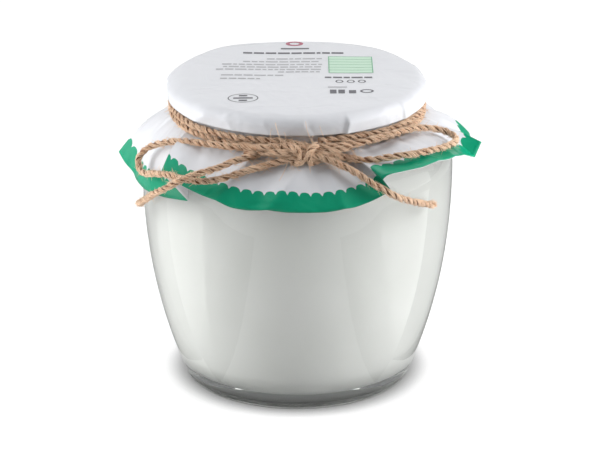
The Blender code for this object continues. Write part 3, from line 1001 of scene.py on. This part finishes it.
crumple = bpy.data.node_groups.new("crumple", "ShaderNodeTree")
crumple.interface.new_socket("Size", in_out="INPUT", socket_type="NodeSocketFloat")
crumple.interface.new_socket("Strength", in_out="INPUT", socket_type="NodeSocketFloat")
crumple.interface.new_socket("Normal", in_out="OUTPUT", socket_type="NodeSocketVector")
given = crumple.nodes.new("NodeGroupInput")
result = crumple.nodes.new("NodeGroupOutput")
spot = node(crumple, "ShaderNodeTexCoord").outputs["Object"]
dents = node(crumple, "ShaderNodeTexNoise", Detail=2.0, Roughness=0.5, Distortion=0.6)
crumple.links.new(spot, dents.inputs["Vector"])
crumple.links.new(given.outputs["Size"], dents.inputs["Scale"])
grain = node(crumple, "ShaderNodeTexNoise", Scale=2600.0, Detail=2.0)
crumple.links.new(spot, grain.inputs["Vector"])
both = node(crumple, "ShaderNodeMath", operation="MULTIPLY_ADD")
both.inputs[1].default_value = GRAIN_SHARE
crumple.links.new(grain.outputs["Fac"], both.inputs[0])
crumple.links.new(dents.outputs["Fac"], both.inputs[2])
press = node(crumple, "ShaderNodeBump", Distance=1.6 * MM)
crumple.links.new(given.outputs["Strength"], press.inputs["Strength"])
crumple.links.new(both.outputs[0], press.inputs["Height"])
crumple.links.new(press.outputs["Normal"], result.inputs["Normal"])


def crumpled(material, shader, size, strength):
    """Places the crumple in a material."""
    group = material.node_tree.nodes.new("ShaderNodeGroup")
    group.node_tree = crumple
    group.inputs["Size"].default_value = size
    group.inputs["Strength"].default_value = strength
    material.node_tree.links.new(group.outputs["Normal"], shader.inputs["Normal"])


# %% Paper materials
paper, paper_shader = plain("paper", (0.70, 0.71, 0.74), 0.42, Specular_IOR_Level=0.45)
crumpled(paper, paper_shader, 95.0, 0.55)
ink, ink_shader = plain("green_ink", (0.0, 0.30, 0.16), 0.30, Specular_IOR_Level=0.5)
crumpled(ink, ink_shader, 75.0, 1.0)
inner, inner_shader = plain("paper_back", (0.78, 0.785, 0.80), 0.6)
crumpled(inner, inner_shader, 95.0, 0.4)
for material in (paper, ink, inner, inner):
    cover.data.materials.append(material)

# %% [markdown]
# ## Marks on the top
# The printed top has a heading, a block of small lines, a pale green table and a few small signs. They are
# given as plain bars and outlines, a hair above the paper.

# %% Ink for the marks
grey_ink, _ = plain("grey_ink", (0.10, 0.10, 0.115), 0.5)
fine_ink, _ = plain("fine_ink", (0.40, 0.40, 0.42), 0.5)
pale_ink, _ = plain("pale_green_ink", (0.55, 0.76, 0.60), 0.45)
leaf_ink, _ = plain("leaf_green_ink", (0.12, 0.42, 0.22), 0.45)
plum_ink, _ = plain("plum_ink", (0.38, 0.07, 0.12), 0.45)

# %% Bars and rings that follow the paper
INK_LIFT = 0.05


def laid(build, name, material, lift=INK_LIFT):
    """Puts flat marks on the paper's top."""
    for vert in build.verts:
        vert.co.z = (top_height(vert.co.x, vert.co.y) + lift) * MM
        vert.co.x *= MM
        vert.co.y *= MM
    piece = object_from(build, name, material)
    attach(piece, "root")
    return piece


def bars(name, spans, material, lift=INK_LIFT):
    """Flat bars from (left, right, y, depth) in mm, each cut fine enough to follow the paper."""
    build = bmesh.new()
    for left, right, y, depth in spans:
        stretch = Matrix.Diagonal((0.5 * (right - left), 0.5 * depth, 1.0, 1.0))
        place = Matrix.Translation((0.5 * (left + right), y, 0.0)) @ stretch
        bmesh.ops.create_grid(build, x_segments=8, y_segments=2, size=1.0, matrix=place)
    return laid(build, name, material, lift)


def rings(name, centres, width, depth, line, material):
    """Flat oval outlines at (x, y) in mm."""
    build = bmesh.new()
    for x, y in centres:
        made = bmesh.ops.create_circle(build, segments=40, radius=1.0, cap_ends=False)["verts"]
        edges = list({edge for vert in made for edge in vert.link_edges})
        grown = bmesh.ops.extrude_edge_only(build, edges=edges)["geom"]
        outer = [item for item in grown if isinstance(item, bmesh.types.BMVert)]
        inner_half = (made, width / 2 - line, depth / 2 - line)
        outer_half = (outer, width / 2, depth / 2)
        for group, half_width, half_depth in (inner_half, outer_half):
            for vert in group:
                vert.co.x = x + vert.co.x * half_width
                vert.co.y = y + vert.co.y * half_depth
    bmesh.ops.recalc_face_normals(build, faces=build.faces)
    return laid(build, name, material)


def words(left, right, y, depth, seed):
    """Bars of unlike lengths in a row, with gaps, as a line of print looks from far."""
    chance = random.Random(seed)
    spans = []
    x = left
    while x < right - 0.8:
        end = min(right, x + chance.uniform(1.2, 4.2))
        spans.append((x, end, y, depth))
        x = end + 0.55
    return spans


bars("heading_bars", words(-18.3, 16.7, 26.1, 1.7, 5), grey_ink)
bars("name_bar", [(-5.6, 3.9, 31.3, 1.5)], grey_ink)
rings("top_mark", [(-1.0, 37.2)], 6.0, 5.4, 1.3, plum_ink)
SMALL_LINES = (
    (-10.2, 8.2, 19.7), (-18.1, 8.2, 16.4), (-25.0, 8.2, 13.2), (-24.6, 8.2, 10.4), (-26.9, 8.5, 7.6),
    (-6.4, 8.4, 4.9), (-25.0, -3.4, 1.3), (-25.2, -12.2, -2.4),
)
SMALL_DEPTH = 1.15
small = []
for k, (left, right, y) in enumerate(SMALL_LINES):
    small += words(left, right, y, SMALL_DEPTH, 40 + k)
bars("small_print_bars", small, fine_ink)
TABLE_LEFT, TABLE_RIGHT = 10.3, 25.0
TABLE_MIDDLE = 12.9
TABLE_STEP = 3.0
bars("table_field", [(TABLE_LEFT, TABLE_RIGHT, TABLE_MIDDLE, 18.2)], pale_ink)
table_lines = [(TABLE_LEFT, TABLE_RIGHT, TABLE_MIDDLE + TABLE_STEP * k, 0.28) for k in range(-3, 4)]
table_sides = [(left, left + 0.3, TABLE_MIDDLE, 18.0) for left in (TABLE_LEFT, TABLE_RIGHT - 0.3)]
bars("table_lines", table_lines + table_sides, leaf_ink, 2.0 * INK_LIFT)
bars("line_under_table", words(9.0, 25.7, -1.0, 1.5, 60), grey_ink)
rings("small_rings", [(13.7, -5.2), (17.4, -5.2), (21.0, -5.2)], 2.6, 3.0, 0.45, grey_ink)
bars("weight_bar", [(9.9, 16.1, -11.2, 1.0)], fine_ink)
bars("weight_bars", [(10.5, 12.6, -15.9, 4.0), (13.2, 15.3, -15.9, 4.0), (16.6, 18.9, -16.2, 3.4)], grey_ink)
rings("weight_ring", [(22.4, -15.6)], 4.4, 3.8, 0.7, grey_ink)
rings("oval_outline", [(-17.3, -23.2)], 9.8, 8.8, 0.35, grey_ink)
bars("oval_bars", [(-20.4, -14.2, -23.2, 1.3), (-18.6, -16.0, -20.8, 1.3), (-18.6, -16.0, -25.6, 1.3)],
     grey_ink)

# %% [markdown]
# ## Floor and light
# The jar stands on a white sweep. A studio lifts such a floor to pure white without flooding the jar with
# light from below, so the floor here glows a little for the camera alone. The glow fades where the foot is
# close, a painted contact shadow that keeps the dark line under it.
#
# Two narrow boxes close to the jar light its sides and leave the middle of the white yogurt grey. They are
# left out of reflections. Larger boxes further out, above and behind fill the rest.

# %% Floor
GLOW = 0.82
CONTACT = 9.0
FLOOR_HALF = 3.0

floor_white, floor_shader = plain("floor_white", (0.75, 0.75, 0.75), 0.9,
                                  Emission_Color=(1.0, 1.0, 1.0, 1.0))
tree = floor_white.node_tree
seen = node(tree, "ShaderNodeLightPath").outputs["Is Camera Ray"]
floor_colour = between(tree, seen, (0.75, 0.75, 0.75), (0.28, 0.28, 0.28))
tree.links.new(floor_colour, floor_shader.inputs["Base Color"])
# painted contact shadow: the floor's glow fades where the jar's foot is near, so the floor is darker under
# it
contact_shadow_ao = node(tree, "ShaderNodeAmbientOcclusion", Distance=CONTACT * MM)
contact_shadow_fade = node(tree, "ShaderNodeMapRange", interpolation_type="SMOOTHSTEP", From_Min=0.12)
tree.links.new(contact_shadow_ao.outputs["AO"], contact_shadow_fade.inputs["Value"])
lift = node(tree, "ShaderNodeMath", operation="MULTIPLY")
tree.links.new(seen, lift.inputs[0])
tree.links.new(contact_shadow_fade.outputs["Result"], lift.inputs[1])
lift_to = node(tree, "ShaderNodeMath", operation="MULTIPLY")
lift_to.inputs[1].default_value = GLOW
tree.links.new(lift.outputs[0], lift_to.inputs[0])
tree.links.new(lift_to.outputs[0], floor_shader.inputs["Emission Strength"])
floor_build = bmesh.new()
bmesh.ops.create_grid(floor_build, x_segments=1, y_segments=1, size=FLOOR_HALF)
floor = object_from(floor_build, "floor", floor_white)

# %% Softboxes


def softbox(name, place, aim, width, height, radiance, mirrors=True):
    """A rectangular area light at a place in metres, facing another, of a given brightness."""
    lamp = bpy.data.lights.new(name, "AREA")
    lamp.shape = "RECTANGLE"
    lamp.size = width
    lamp.size_y = height
    lamp.energy = radiance * math.pi * width * height
    made = link(bpy.data.objects.new(name, lamp))
    made.location = place
    made.rotation_euler = (Vector(aim) - Vector(place)).to_track_quat("-Z", "Y").to_euler()
    made.visible_camera = False
    made.visible_glossy = mirrors
    made.visible_transmission = mirrors


JAR_MIDDLE = (0.0, 0.0, 0.07)
NEAR_DISTANCE = 225
NEAR_HEIGHT = 125
NEAR_TALL = 0.23
for name, azimuth, width, radiance in (("left_near", -71, 0.15, 4.1), ("right_near", 71, 0.13, 5.4)):
    place = on_ring(azimuth, NEAR_DISTANCE, NEAR_HEIGHT)
    softbox(name, place, on_ring(0, 0, NEAR_HEIGHT), width, NEAR_TALL, radiance, mirrors=False)
softbox("left_far", (-0.63, 0.05, 0.30), JAR_MIDDLE, 0.40, 0.60, 1.25)
softbox("right_far", (0.63, 0.02, 0.30), JAR_MIDDLE, 0.44, 0.60, 1.35)
softbox("top_box", (0.0, 0.10, 0.95), (0.0, 0.0, 0.1), 0.9, 0.7, 1.9)
softbox("back_box", (0.0, 0.70, 0.35), JAR_MIDDLE, 0.60, 0.50, 1.2)

# %% [markdown]
# Clear glass shows by what it mirrors. Seen from above, the belly mirrors the floor: the floor in front
# where it faces the camera, and the floor behind near its outline. So a sheet that only reflections see
# lies on the floor. In front of the jar it is brightest along one line, and fades toward the camera. That
# line gives the glass its crisp upright border. Behind the jar the sheet is dark, which draws the outline.

# %% Sheet for the reflections
SHEET_HEIGHT = 1.0
BRIGHT_LINE = ((30, -30), (75, -11.4), (262, 66))
FADED_LINE = ((88, -169), (133, -150), (320, -73))
FAN_MIDDLE = Vector((44, -24.2, 0))
FAN_FROM_TO = (1, 300)
# azimuth seen from the fan's middle, and brightness there
REAR_GLOW = ((112.5, 0.5), (135, 0.45), (152, 0.35))
OUTLINE_AZIMUTHS = (163, 180)


def sheet_side(build, glow, side, brightness, outline_brightness):
    """The sheet at one side, 1 for the right and -1 for the left: a strip in front and a fan behind."""

    def corner(x, y, value):
        made = build.verts.new((side * x * MM, y * MM, SHEET_HEIGHT * MM))
        made[glow] = value
        return made

    rear = [corner(x, y, value) for (x, y), value in zip(BRIGHT_LINE, (0, brightness, brightness))]
    front = [corner(x, y, 0) for x, y in FADED_LINE]
    for k in (0, 1):
        build.faces.new((rear[k], rear[k + 1], front[k + 1], front[k])[::-side])
    fan = []
    for azimuth, value in REAR_GLOW + tuple((turn, outline_brightness) for turn in OUTLINE_AZIMUTHS):
        spots = [FAN_MIDDLE + on_ring(azimuth, reach, 0) / MM for reach in FAN_FROM_TO]
        fan.append([corner(spot.x, spot.y, value) for spot in spots])
    for (near, far), (next_near, next_far) in zip(fan, fan[1:]):
        build.faces.new((near, far, next_far, next_near)[::side])


sheet_white, sheet_shader = plain("front_sheet_white", (0.0, 0.0, 0.0), 1.0,
                                  Emission_Color=(1.0, 1.0, 1.0, 1.0))
tree = sheet_white.node_tree
glow = node(tree, "ShaderNodeAttribute", attribute_name="glow").outputs["Fac"]
tree.links.new(glow, sheet_shader.inputs["Emission Strength"])
sheet_build = bmesh.new()
glow_layer = sheet_build.verts.layers.float.new("glow")
sheet_side(sheet_build, glow_layer, 1, 1.7, 0.08)
sheet_side(sheet_build, glow_layer, -1, 0.9, 0.25)
sheet = object_from(sheet_build, "front_sheet", sheet_white)
sheet.visible_camera = sheet.visible_diffuse = sheet.visible_transmission = sheet.visible_shadow = False

# %% Light from all round
world = bpy.data.worlds.new("studio")
bpy.context.scene.world = world
world.use_nodes = True
world.node_tree.nodes["Background"].inputs["Color"].default_value = (0.75, 0.76, 0.78, 1.0)
world.node_tree.nodes["Background"].inputs["Strength"].default_value = 0.2
